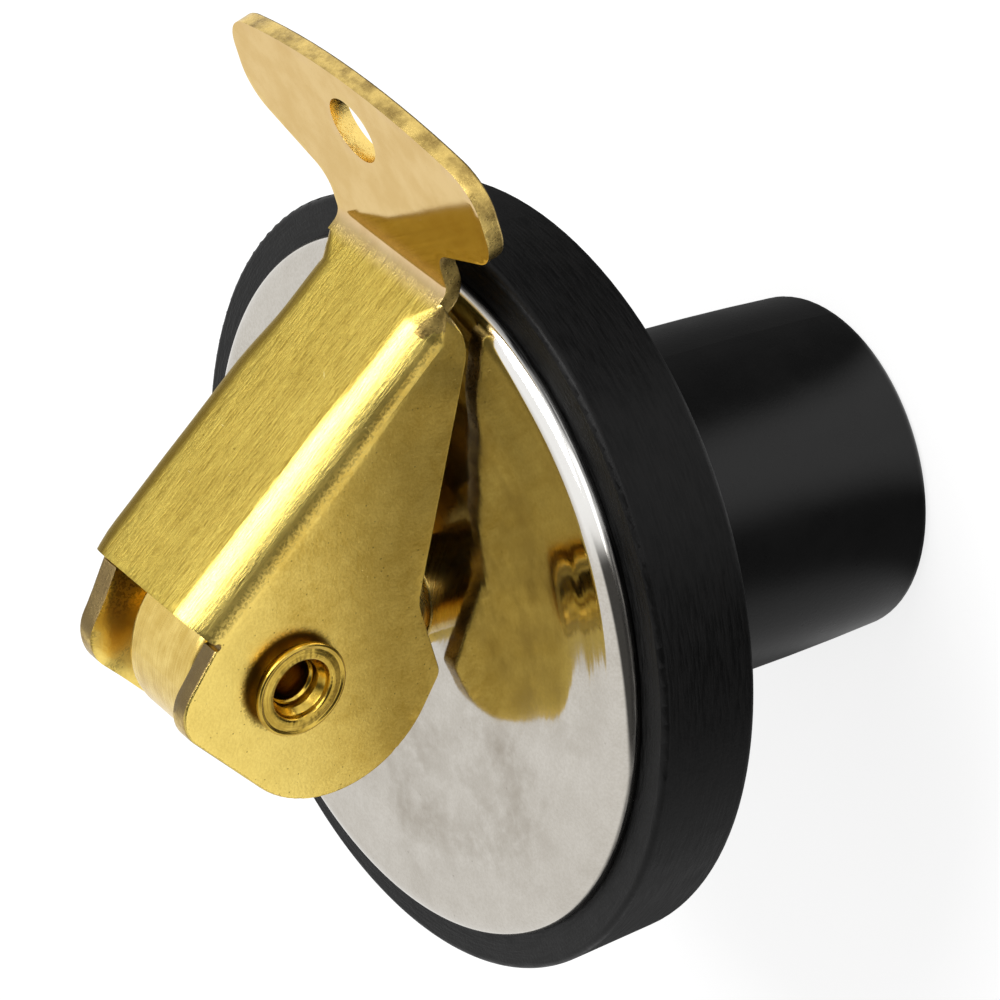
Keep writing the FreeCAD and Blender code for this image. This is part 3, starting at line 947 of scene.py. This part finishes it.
@dataclass(frozen=True)
class MouldedRubber:
    """Black rubber: a scuffed flange rim with scratches that run round it, and a smoother, shinier plug."""

    black: tuple = (0.0013, 0.0013, 0.0013, 1.0)
    worn: tuple = (0.0070, 0.0068, 0.0067, 1.0)
    flange_start: Span = (-0.1, 0.2)
    plug_rough: Span = (0.26, 0.34)
    flange_rough: Span = (0.34, 0.5)
    sheen: float = 0.13
    plug_skin: float = 0.45
    skin_rough: float = 0.3
    relief: float = 0.01

    def make(self) -> bpy.types.Material:
        """Makes the material.

        Returns:
            The material.
        """
        finish = Finish("black_rubber_moulded", metallic=0.0, roughness=0.5)
        graph = finish.graph
        flange = graph.fade(graph.part(finish.point, "Z"), *self.flange_start)
        rings = finish.ringed(gap=0.16, turn=14.0, contrast=1.5)
        patches = finish.mottled(size=2.5, detail=4.0, contrast=1.5)
        grain = finish.mottled(size=0.2, detail=3.0, contrast=1.2)
        scuffs = graph.both(rings, flange)
        wear = graph.total((scuffs, 0.7), (patches, 0.3))
        plug_rough = graph.spread(patches, *self.plug_rough)
        rough = graph.mix(flange, plug_rough, graph.spread(rings, *self.flange_rough))
        finish.set(Base_Color=graph.colours(wear, self.black, self.worn), Roughness=rough)
        # The plug keeps the mould's smooth skin, which the flange has lost.
        finish.set(Specular_IOR_Level=self.sheen, Coat_Roughness=self.skin_rough)
        finish.set(Coat_Weight=graph.spread(flange, self.plug_skin, 0.0))
        finish.relief(graph.total((grain, 0.5), base=scuffs), self.relief)
        return finish.material


class Part:
    """One sub-assembly of the plug, made of nodes and pieces that ride on the bodies."""

    def dress(self) -> None:
        """Gives each node its finish, and builds the pieces that stand for nodes."""
        raise NotImplementedError

    @staticmethod
    def paint(node: str, *materials: bpy.types.Material) -> None:
        """Puts materials into a node's slots.

        Args:
            node: The node's name.
            materials: The material of each slot.
        """
        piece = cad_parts[node]
        piece.data.materials.clear()
        for material in materials:
            piece.data.materials.append(material)
        log.info("%s: %s", node, ", ".join(material.name for material in materials))

    @staticmethod
    def stand_in(mesh: bpy.types.Mesh, node: str, body: str, slot: str,
                 *materials: bpy.types.Material) -> bpy.types.Object:
        """Shows a mesh in the place of a node.

        Args:
            mesh: The mesh, in the row frame.
            node: The node that it stands for.
            body: The body that it rides on.
            slot: The record's material slot; not used.
            materials: The material of each of its own slots.

        Returns:
            The new piece.
        """
        piece = bpy.data.objects.new(mesh.name, mesh)
        bpy.context.scene.collection.objects.link(piece)
        for material in materials:
            mesh.materials.append(material)
        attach(piece, body)
        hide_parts(node)
        log.info("%s: %d faces, in place of %s", mesh.name, len(mesh.polygons), node)
        return piece


@dataclass
class FoldedLever(Part):
    """The folded sheet, a little uneven as stamped and riveted, and the rivet it turns on.

    Lengths are in millimetres and angles in degrees. A pair of numbers is where a change starts
    and where it is full.
    """

    form: LeverForm = LeverForm()
    fold: float = 1.9
    web_offset: float = 7.55
    near_face: float = -4.295
    far_face: float = 5.545

    # Where tab and neck start, up the tab from its crease, and how squarely a cut edge looks out.
    tab_zone: float = 0.9
    neck_zone: float = -1.6
    edge_look: float = 0.6
    neck_edge_look: float = 0.5

    # The folds are rounder than drawn, and run out at the neck.
    near_fold_worn: float = 2.3
    far_fold_worn: float = 2.5
    fold_reach: float = 4.0
    folds_run_out: Span = (14.5, 10.5)

    # The far fold stands out from its cheek, and the far ear leans in.
    far_fold_spread: float = 0.70
    spread_from_middle: float = 0.6
    spread_to_depth: float = 5.5
    far_ear_lean: float = 0.75
    ear_start: float = -0.72
    ear_run: Span = (-1.6, 3.0)
    ear_depth: Span = (7.0, 3.2)
    ear_side: Span = (3.0, 4.4)

    # Stamping leaves the sheet a little uneven.
    unevenness: float = 0.012
    sway_size: float = 3.1
    lift_size: float = 2.6

    # How the mesh is cut and smoothed.
    edge_round: float = 0.05
    grid: float = 0.7
    grid_reach: Triple = (34.0, 24.0, 12.0)
    grid_tolerance: float = 1e-7
    merge: float = 0.002
    flat_angle: float = 0.4
    cut_angle: float = 50.0
    smooth_angle: float = 42.0

    # The rivet and the dents that rolling leaves in its heads.
    rivet_steps: int = 192
    crimp_depth: float = 0.02
    crimp_waves: float = 9.0
    crimp_band: Span = (1.6, 2.3)
    crimp_height: float = 0.6
    head_section: tuple[Span, ...] = (
        (1.15, -1.15), (1.15, -0.42), (1.18, -0.35), (1.26, -0.31), (1.31, -0.22), (1.32, 0.10),
        (1.36, 0.16), (1.57, 0.44), (1.60, 0.50), (1.63, 0.62), (1.66, 0.72), (1.71, 0.785),
        (1.80, 0.81), (2.02, 0.80), (2.22, 0.775), (2.28, 0.765), (2.32, 0.78), (2.36, 0.825),
        (2.41, 0.85), (2.47, 0.85), (2.53, 0.82), (2.567, 0.76), (2.575, 0.69), (2.57, 0.58),
        (2.54, 0.52), (2.48, 0.49), (2.15, 0.49), (2.15, 0.02), (2.12, 0.0), (1.9, 0.0),
    )

    def cut_edge(self, centre: Vector, normal: Vector) -> bool:
        """Tells a cut edge from a rolled face.

        Args:
            centre: A face's middle, in metres.
            normal: The way the face looks.

        Returns:
            Whether the face is on a cut edge.
        """
        point = centre / MM
        down_web, off_web = slope(self.form.web_slope)
        up_tab, off_tab = slope(self.form.tab_slope)
        past_crease = (point - Vector(self.form.crease)).dot(up_tab)
        if past_crease > self.tab_zone:
            return abs(normal.dot(off_tab)) < self.edge_look
        if past_crease > self.neck_zone:
            return abs(normal.y) > self.neck_edge_look
        below_web = self.web_offset - (point - Vector(self.form.pivot)).dot(off_web)
        if below_web < self.fold:
            return abs(normal.dot(down_web)) > self.edge_look
        return abs(normal.y) < self.edge_look

    def wear(self, offset: float, worn: float) -> float:
        """Gives how far a fold's middle draws in when its round is larger than it was drawn.

        Args:
            offset: The distance from the fold's middle, square to its diagonal.
            worn: The larger radius.

        Returns:
            The distance inwards along the diagonal.
        """
        def skin(radius: float) -> float:
            """Gives the sheet's outside along the diagonal.

            Args:
                radius: The fold's radius.

            Returns:
                The distance from the corner.
            """
            if abs(offset) > radius * DIAGONAL:
                return abs(offset)
            return radius * math.sqrt(2) - math.sqrt(radius * radius - offset * offset)

        return skin(worn) - skin(self.fold)

    def settle(self, point: Vector) -> Vector:
        """Moves a point of the stamped sheet to where folding and riveting left it.

        Args:
            point: The point, in millimetres.

        Returns:
            Its new place.
        """
        down_web, off_web = slope(self.form.web_slope)
        local = point - Vector(self.form.pivot)
        along = local.dot(down_web)
        depth = self.web_offset - local.dot(off_web)
        to_neck = rise(along, *self.folds_run_out)
        far = rise(point.y, self.spread_from_middle, self.far_face - self.fold)
        spread = self.far_fold_spread * far * to_neck * rise(depth, self.spread_to_depth, self.fold)
        past_web = self.ear_start - along
        ear = rise(past_web, *self.ear_run) * rise(depth, *self.ear_depth) * rise(point.y, *self.ear_side)
        moved = point + Vector((0, spread - self.far_ear_lean * ear, 0))
        folds = ((self.near_face, 1, self.near_fold_worn), (self.far_face, -1, self.far_fold_worn))
        for face, inward, worn in folds:
            from_face = (point.y - face) * inward
            if max(from_face, depth) < self.fold_reach:
                drawn = self.wear((from_face - depth) * DIAGONAL, worn) * to_neck * DIAGONAL
                moved += Vector((0, inward * drawn, 0)) - off_web * drawn
        sway = noise.noise(point / self.sway_size) * self.unevenness
        lift = noise.noise(point / self.lift_size + Vector((9, 4, 2))) * self.unevenness
        return moved + off_web * lift + Vector((0, sway, 0))

    def build_sheet(self) -> bpy.types.Mesh:
        """Cuts the stamped form into a fine grid, breaks its edges and settles it.

        Returns:
            The lever's mesh, with the rolled faces in slot 0 and the cut edges in slot 1.
        """
        shape = bmesh.new()
        shape.from_mesh(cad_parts["lever"].data)
        bmesh.ops.remove_doubles(shape, verts=shape.verts, dist=self.merge * MM)
        bmesh.ops.dissolve_limit(
            shape, angle_limit=math.radians(self.flat_angle), use_dissolve_boundaries=False,
            verts=shape.verts, edges=shape.edges, delimit={"NORMAL"})
        cut = math.radians(self.cut_angle)
        sharp = [edge for edge in shape.edges if edge.is_manifold and edge.calc_face_angle() > cut]
        bmesh.ops.bevel(
            shape, geom=sharp, offset=self.edge_round * MM, offset_type="OFFSET", segments=2, profile=0.6,
            affect="EDGES", clamp_overlap=True)
        # Planes square to the web's directions cut the faces small enough to bend.
        for direction, reach in zip((*slope(self.form.web_slope), ACROSS), self.grid_reach):
            for step in range(int(2 * reach / self.grid)):
                place = Vector(self.form.pivot) + direction * (step * self.grid - reach)
                bmesh.ops.bisect_plane(
                    shape, geom=shape.verts[:] + shape.edges[:] + shape.faces[:],
                    dist=self.grid_tolerance, plane_co=place * MM, plane_no=direction)
        for vertex in shape.verts:
            vertex.co = self.settle(vertex.co / MM) * MM
        bmesh.ops.triangulate(shape, faces=[face for face in shape.faces if len(face.verts) > 4])
        for face in shape.faces:
            face.smooth = True
            face.material_index = int(self.cut_edge(face.calc_center_median(), face.normal))
        smooth = math.radians(self.smooth_angle)
        for edge in shape.edges:
            edge.smooth = edge.is_manifold and edge.calc_face_angle() < smooth
        mesh = bpy.data.meshes.new("settled_lever")
        shape.to_mesh(mesh)
        shape.free()
        return mesh

    def head(self, face: float, outward: int) -> list[Span]:
        """Gives one rolled head of the rivet in section, from the bore out to the shank.

        Args:
            face: The cheek's outer face, along Y.
            outward: -1 or 1, the way the head stands out.

        Returns:
            Radius and Y pairs, in millimetres.
        """
        return [(radius, face + outward * height) for radius, height in self.head_section]

    def build_rivet(self) -> bpy.types.Mesh:
        """Builds the hollow rivet, rolled over at both ends, with the fine dents of the rolling.

        Returns:
            The rivet's mesh.
        """
        def crimp(radius: float, height: float, angle: float) -> float:
            """Gives the small dents that rolling leaves round the head.

            Args:
                radius: A point's radius.
                height: Its place along the rivet.
                angle: Its angle.

            Returns:
                How far the point moves along the rivet.
            """
            outside = max(self.near_face - height, height - self.far_face)
            if outside < self.crimp_height or not self.crimp_band[0] < radius < self.crimp_band[1]:
                return 0.0
            where = Vector((math.cos(angle) * self.crimp_waves, math.sin(angle) * self.crimp_waves, radius))
            return math.copysign(self.crimp_depth * noise.noise(where), height)

        outline = self.head(self.near_face, -1) + self.head(self.far_face, 1)[::-1]
        mesh = spun_mesh("rolled_rivet", outline, self.rivet_steps, crimp)
        turn = Matrix(((1, 0, 0), (0, 0, 1), (0, -1, 0))).to_4x4()
        mesh.transform(Matrix.Translation(Vector((0, 0, self.form.pivot[2])) * MM) @ turn)
        return mesh

    def dress(self) -> None:
        """Builds the settled sheet and the rivet, and gives them their brass."""
        faces, edges = RolledBrass(form=self.form).make(), ShearedEdge(form=self.form).make()
        lever = self.stand_in(self.build_sheet(), "lever", "lever", "rolled_brass", faces, edges)
        weighted = lever.modifiers.new("even_faces", "WEIGHTED_NORMAL")
        weighted.keep_sharp = True
        weighted.weight = 60
        brass = TurnedBrass(
            "rolled_over_brass", centre=self.form.pivot, axis=(0, 1, 0), bright=srgb(214, 182, 84),
            dull=srgb(160, 130, 48), roughness=0.2)
        self.stand_in(self.build_rivet(), "pivot_rivet", "lever", "eyelet_brass", brass.make())


@dataclass(frozen=True)
class PressRing:
    """A raised ring that the press left in the disc: its start, crest and end radius, and its height."""

    start: float
    crest: float
    end: float
    height: float

    def lift(self, radius: float) -> float:
        """Returns the ring's height at a radius."""
        return self.height * rise(radius, self.start, self.crest) * rise(radius, self.end, self.crest)


@dataclass
class RubberStopper(Part):
    """The rubber stopper and its plated disc, which is slightly ringed and dented by the press."""

    rim: float = 18.2
    roll_width: float = 1.25
    roll_height: float = 0.85
    roll_steps: int = 16
    sheet: float = 0.9
    seat: float = 5.85
    top: float = 7.42
    hole: float = 2.615
    dome_radius: float = 290.85
    dome_steps: int = 72
    turn_steps: int = 256
    rings: tuple[PressRing, ...] = (PressRing(11.9, 13.9, 15.6, 0.055), PressRing(7.6, 8.8, 10.2, 0.015))
    dent_depth: float = 0.03
    dent_size: float = 5.0
    ripple_size: float = 1.8
    ripple_share: float = 0.06
    calm_rim: Span = (0.3, 2.2)
    calm_hole: float = 2.0

    def dome(self, radius: float) -> float:
        """Returns the height of the disc's top at a radius."""
        return self.top - self.dome_radius + math.sqrt(self.dome_radius ** 2 - radius ** 2)

    def disc_outline(self) -> list[Span]:
        """Draws the disc's section: the dome, the rolled rim, and the hollow underneath.

        Returns:
            Radius and height pairs, in millimetres.
        """
        inner_rim = self.rim - self.sheet
        side = self.rim - self.roll_width
        radii = [self.hole + (side - self.hole) * i / self.dome_steps for i in range(self.dome_steps + 1)]
        outside = [(radius, self.dome(radius)) for radius in radii]
        middle = self.dome(side) - self.roll_height
        for i in range(1, self.roll_steps + 1):
            angle = math.pi / 2 * i / self.roll_steps
            radius = side + self.roll_width * math.sin(angle)
            outside.append((radius, middle + self.roll_height * math.cos(angle)))
        corner = (inner_rim, self.dome(inner_rim) - self.sheet)
        wall = [(self.rim, self.seat), (inner_rim, self.seat), corner]
        inside = [(radius, self.dome(radius) - self.sheet) for radius in radii[::-3] if radius < inner_rim]
        return outside + wall + inside

    def press_marks(self, radius: float, height: float, angle: float) -> float:
        """Gives how far the press and handling moved the disc at a point.

        Args:
            radius: The point's radius.
            height: Its height.
            angle: Its angle.

        Returns:
            The extra height, in millimetres.
        """
        if height < self.seat + 0.05:
            return 0.0
        off_rim = rise(radius, self.rim - self.calm_rim[0], self.rim - self.calm_rim[1])
        calm = off_rim * rise(radius, self.hole, self.hole + self.calm_hole)
        raised = sum(ring.lift(radius) for ring in self.rings)
        flat = Vector((radius * math.cos(angle), radius * math.sin(angle), 0))
        dents = noise.noise(flat / self.dent_size) + self.ripple_share * noise.noise(flat / self.ripple_size)
        return calm * (raised + self.dent_depth * dents)

    def dress(self) -> None:
        """Gives the rubber its finish and builds the pressed disc."""
        self.paint("rubber_stopper", MouldedRubber().make())
        mesh = spun_mesh("pressed_disc", self.disc_outline(), self.turn_steps, self.press_marks)
        self.stand_in(mesh, "cover_disc", "plug", "plated_steel", PlatedSteel().make())


@dataclass
class ClampingStem(Part):
    """The eye stem with its washer and nut."""

    eye_centre: Triple = (0.0, 0.0, 16.7)

    def dress(self) -> None:
        """Gives the stem, the washer and the nut their brass."""
        eye = TurnedBrass(
            "turned_brass_eye", centre=self.eye_centre, axis=(0, 1, 0), bright=srgb(240, 212, 128),
            dull=srgb(204, 172, 88))
        self.paint("eye_stem", eye.make())
        self.paint("end_washer", TurnedBrass("turned_brass_washer").make())
        self.paint("captive_nut", TurnedBrass("turned_brass_nut").make())


class Sees(Enum):
    """Which rays see the pale studio at full white."""

    CAMERA = "Is Camera Ray"
    GLOSSY = "Is Glossy Ray"
    TRANSMISSION = "Is Transmission Ray"


@dataclass(frozen=True)
class Lamp:
    """A soft square lamp that faces the plug, in metres and watts."""

    name: str
    distance: float
    side: float
    watts: float

    def hang(self, direction: Vector) -> None:
        """Hangs the lamp.

        Args:
            direction: Where it hangs, seen from the plug.
        """
        data = bpy.data.lights.new(self.name, "AREA")
        data.shape = "SQUARE"
        data.size = self.side
        data.energy = self.watts
        lamp = bpy.data.objects.new(self.name, data)
        bpy.context.scene.collection.objects.link(lamp)
        aim = direction.normalized()
        lamp.location = aim * self.distance
        lamp.rotation_euler = aim.to_track_quat("Z", "Y").to_euler()
        log.info("%s: %.2f W", self.name, self.watts)


@dataclass(frozen=True)
class LitSide:
    """A side of the floor that gets painted light in reflections, brighter than the rest of it."""

    towards: Triple
    span: Span
    level: float


@dataclass
class Studio:
    """The pale floor, the soft lamps and the camera, in metres.

    The floor lies a hair under the stopper's end, so that the two don't share a plane. A pair of
    numbers is where a mask starts and where it is full.
    """

    floor_height: float = -19.32 * MM
    floor_reach: float = 3.0
    floor_grey: float = 0.30
    floor_glow: float = 0.79
    near_level: float = 0.12
    far_floor: Span = (0.056, 0.074)
    lit_sides: tuple[LitSide, ...] = (
        LitSide((0.707, -0.707, 0.0), (0.84, 0.99), 0.9),
        LitSide((-0.766, -0.643, 0.0), (0.80, 0.97), 0.45),
    )
    room_level: float = 0.5
    dim_level: float = 0.08
    dim_from: Triple = (-0.839, -0.545, 0.0)
    dim_from_span: Span = (-0.03, 0.1)
    dim_to: Triple = (0.799, -0.602, 0.0)
    dim_to_span: Span = (-0.08, 0.12)
    view_from: Triple = (0.175514, -0.231381, 0.176166)
    camera_right: Triple = (0.05741, -0.57374, -0.81702)
    camera_up: Triple = (0.85830, 0.44637, -0.25314)
    lens: float = 241.97
    sensor: float = 36.0
    key_lamp: Lamp = Lamp("key_lamp", distance=0.6, side=0.36, watts=3.3)
    key_towards: Triple = (0.65, 0.03, 0.73)
    fill_lamp: Lamp = Lamp("fill_lamp", distance=0.8, side=0.4, watts=1.0)
    fill_aside: float = 0.1
    fill_above: float = 0.2

    @staticmethod
    def white_share(graph: Graph) -> Socket:
        """Picks out the rays that see the studio at full white.

        Args:
            graph: The material's or world's graph.

        Returns:
            1 for those rays, and 0 for the rest.
        """
        path = graph.add("ShaderNodeLightPath").outputs
        share: Value = 0.0
        for kind in Sees:
            share = graph.math("ADD", share, path[kind.value], clamp=True)
        return share

    def floor_level(self, graph: Graph) -> Socket:
        """Says how bright the paper stands in reflections: painted shade round the plug, but for its lit
        sides, which get painted light.

        Args:
            graph: The floor's graph.

        Returns:
            The level, which is 1 for all but glossy rays.
        """
        place = graph.add("ShaderNodeTexCoord").outputs["Object"]
        heading = graph.vector("NORMALIZE", place)
        level = graph.fade(graph.vector("LENGTH", place), *self.far_floor)
        for lit in self.lit_sides:
            facing = graph.fade(graph.reach(heading, lit.towards), *lit.span)
            level = graph.math("MAXIMUM", level, graph.spread(facing, self.near_level, lit.level))
        seen = graph.add("ShaderNodeLightPath").outputs[Sees.GLOSSY.value]
        return graph.mix(seen, 1.0, level)

    def add_floor(self) -> None:
        """Lays a pale floor that keeps the plug's shadow, and is clear seen from below."""
        bpy.ops.mesh.primitive_plane_add(size=self.floor_reach, location=(0, 0, self.floor_height))
        floor = bpy.context.object
        floor.name = "studio_floor"
        material = bpy.data.materials.new("pale_floor")
        material.use_nodes = True
        material.node_tree.nodes.clear()
        graph = Graph(material.node_tree)
        shown = self.floor_level(graph)
        grey = graph.scale((1.0, 1.0, 1.0), graph.math("MULTIPLY", shown, self.floor_grey))
        paper = graph.add("ShaderNodeBsdfDiffuse", {"Color": grey})
        lift = graph.both(self.white_share(graph), self.floor_glow, shown)
        glow = graph.add("ShaderNodeEmission", {"Color": WHITE, "Strength": lift})
        both = graph.add("ShaderNodeAddShader")
        graph.feed(both.inputs[0], paper.outputs[0])
        graph.feed(both.inputs[1], glow.outputs[0])
        surface = graph.add("ShaderNodeMixShader")
        graph.feed(surface.inputs[0], graph.add("ShaderNodeNewGeometry").outputs["Backfacing"])
        graph.feed(surface.inputs[1], both.outputs[0])
        graph.feed(surface.inputs[2], graph.add("ShaderNodeBsdfTransparent").outputs[0])
        graph.add("ShaderNodeOutputMaterial", {"Surface": surface.outputs[0]})
        floor.data.materials.append(material)
        log.info("studio_floor: pale paper")

    def add_world(self) -> None:
        """Surrounds the plug with a pale room, white where it is seen and dim in one side's reflections."""
        world = bpy.data.worlds.new("pale_room")
        world.use_nodes = True
        world.node_tree.nodes.clear()
        graph = Graph(world.node_tree)
        towards = graph.add("ShaderNodeTexCoord").outputs["Generated"]
        past_right = graph.fade(graph.reach(towards, self.dim_from), *self.dim_from_span)
        past_left = graph.fade(graph.reach(towards, self.dim_to), *self.dim_to_span)
        seen = graph.add("ShaderNodeLightPath").outputs[Sees.GLOSSY.value]
        white = graph.spread(graph.both(past_right, past_left, seen), 1.0, self.dim_level)
        strength = graph.mix(self.white_share(graph), self.room_level, white)
        back = graph.add("ShaderNodeBackground", {"Color": WHITE, "Strength": strength})
        graph.add("ShaderNodeOutputWorld", {"Surface": back.outputs[0]})
        bpy.context.scene.world = world

    def add_lamps(self) -> None:
        """Hangs the key lamp over the lever's side and a weak fill close to the camera."""
        right, up = Vector(self.camera_right), Vector(self.camera_up)
        self.key_lamp.hang(Vector(self.key_towards))
        self.fill_lamp.hang(right.cross(up) + up * self.fill_above + right * self.fill_aside)

    def add_camera(self) -> None:
        """Sets the camera where the photograph was taken from."""
        right = Vector(self.camera_right).normalized()
        back = right.cross(Vector(self.camera_up)).normalized()
        up = back.cross(right)
        data = bpy.data.cameras.new("camera")
        data.sensor_width = self.sensor
        data.lens = self.lens
        data.clip_start = 0.01
        camera = bpy.data.objects.new("camera", data)
        bpy.context.scene.collection.objects.link(camera)
        turn = Matrix((right, up, back)).transposed().to_4x4()
        camera.matrix_world = Matrix.Translation(Vector(self.view_from)) @ turn
        bpy.context.scene.camera = camera

    def set_up(self) -> None:
        """Sets up the whole studio."""
        bpy.context.scene.view_settings.view_transform = "Standard"
        self.add_camera()
        self.add_world()
        self.add_floor()
        self.add_lamps()


def main() -> None:
    """Builds the studio and dresses each part of the plug."""
    logging.basicConfig(level=logging.INFO, format="%(name)s: %(message)s")
    Studio().set_up()
    for part in (RubberStopper(), ClampingStem(), FoldedLever()):
        part.dress()


if __name__ == "__main__":
    main()
